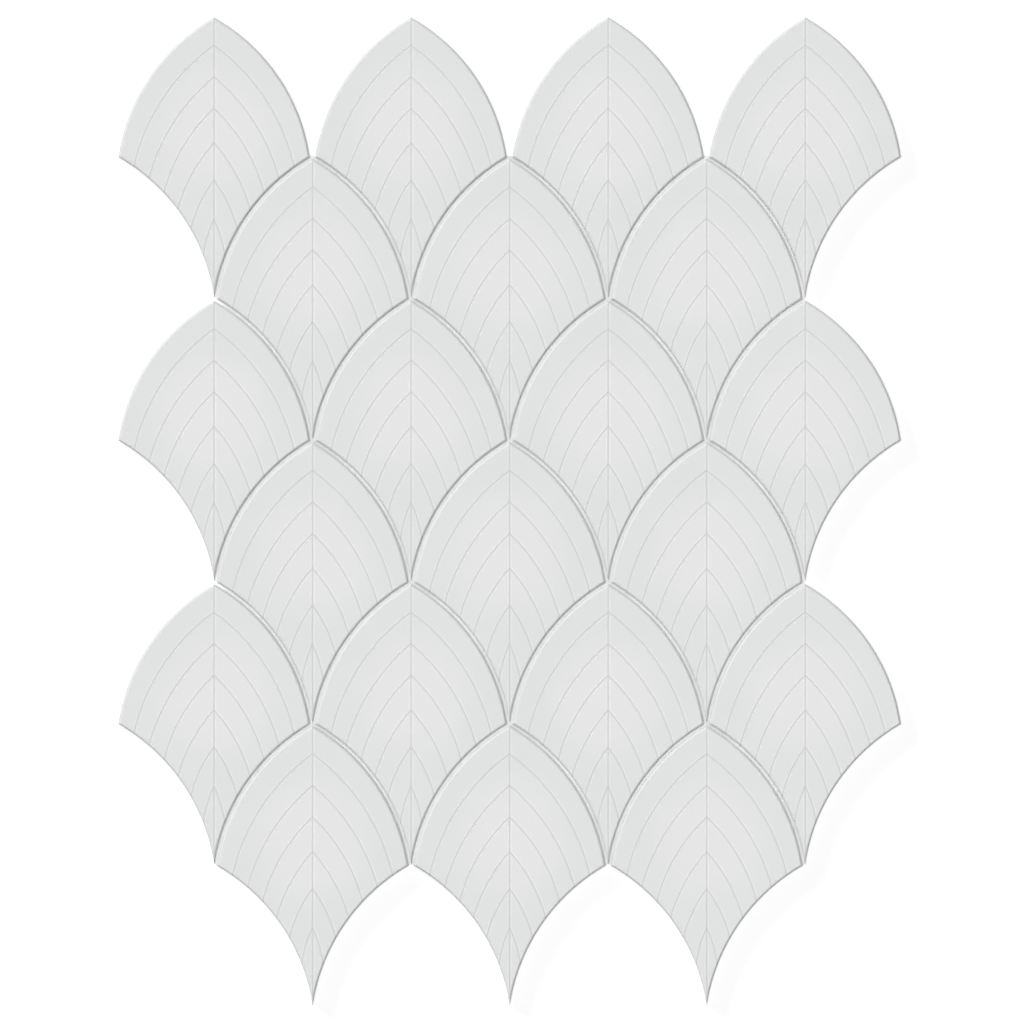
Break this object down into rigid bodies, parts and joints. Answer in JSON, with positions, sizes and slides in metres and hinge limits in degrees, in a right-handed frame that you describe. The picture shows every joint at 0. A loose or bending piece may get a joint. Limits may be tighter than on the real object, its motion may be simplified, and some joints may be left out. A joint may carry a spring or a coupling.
{
  "type": "fish scale mosaic tile sheet",
  "caption": "Mesh-mounted mosaic sheet of white pointed fish scale tiles with engraved leaf veins, in staggered interlocking rows for covering walls and floors.",
  "frame": {"origin": "on the floor under the middle of the sheet's box", "axes": "+X along a row, +Y to the crowns of the tiles, +Z out of the glazed face"},
  "size_m": [0.261, 0.3296, 0.0065],
  "materials": {
    "glaze": "satin",
    "mesh": "matte"
  },
  "bodies": {
    "root": {"backing_mesh": "mesh", "tile_row1_1": "glaze", "tile_row1_2": "glaze", "tile_row1_3": "glaze", "tile_row1_4": "glaze", "tile_row2_1": "glaze", "tile_row2_2": "glaze", "tile_row2_3": "glaze", "tile_row3_1": "glaze", "tile_row3_2": "glaze", "tile_row3_3": "glaze", "tile_row3_4": "glaze", "tile_row4_1": "glaze", "tile_row4_2": "glaze", "tile_row4_3": "glaze", "tile_row5_1": "glaze", "tile_row5_2": "glaze", "tile_row5_3": "glaze", "tile_row5_4": "glaze", "tile_row6_1": "glaze", "tile_row6_2": "glaze", "tile_row6_3": "glaze"}
  },
  "joints": []
}
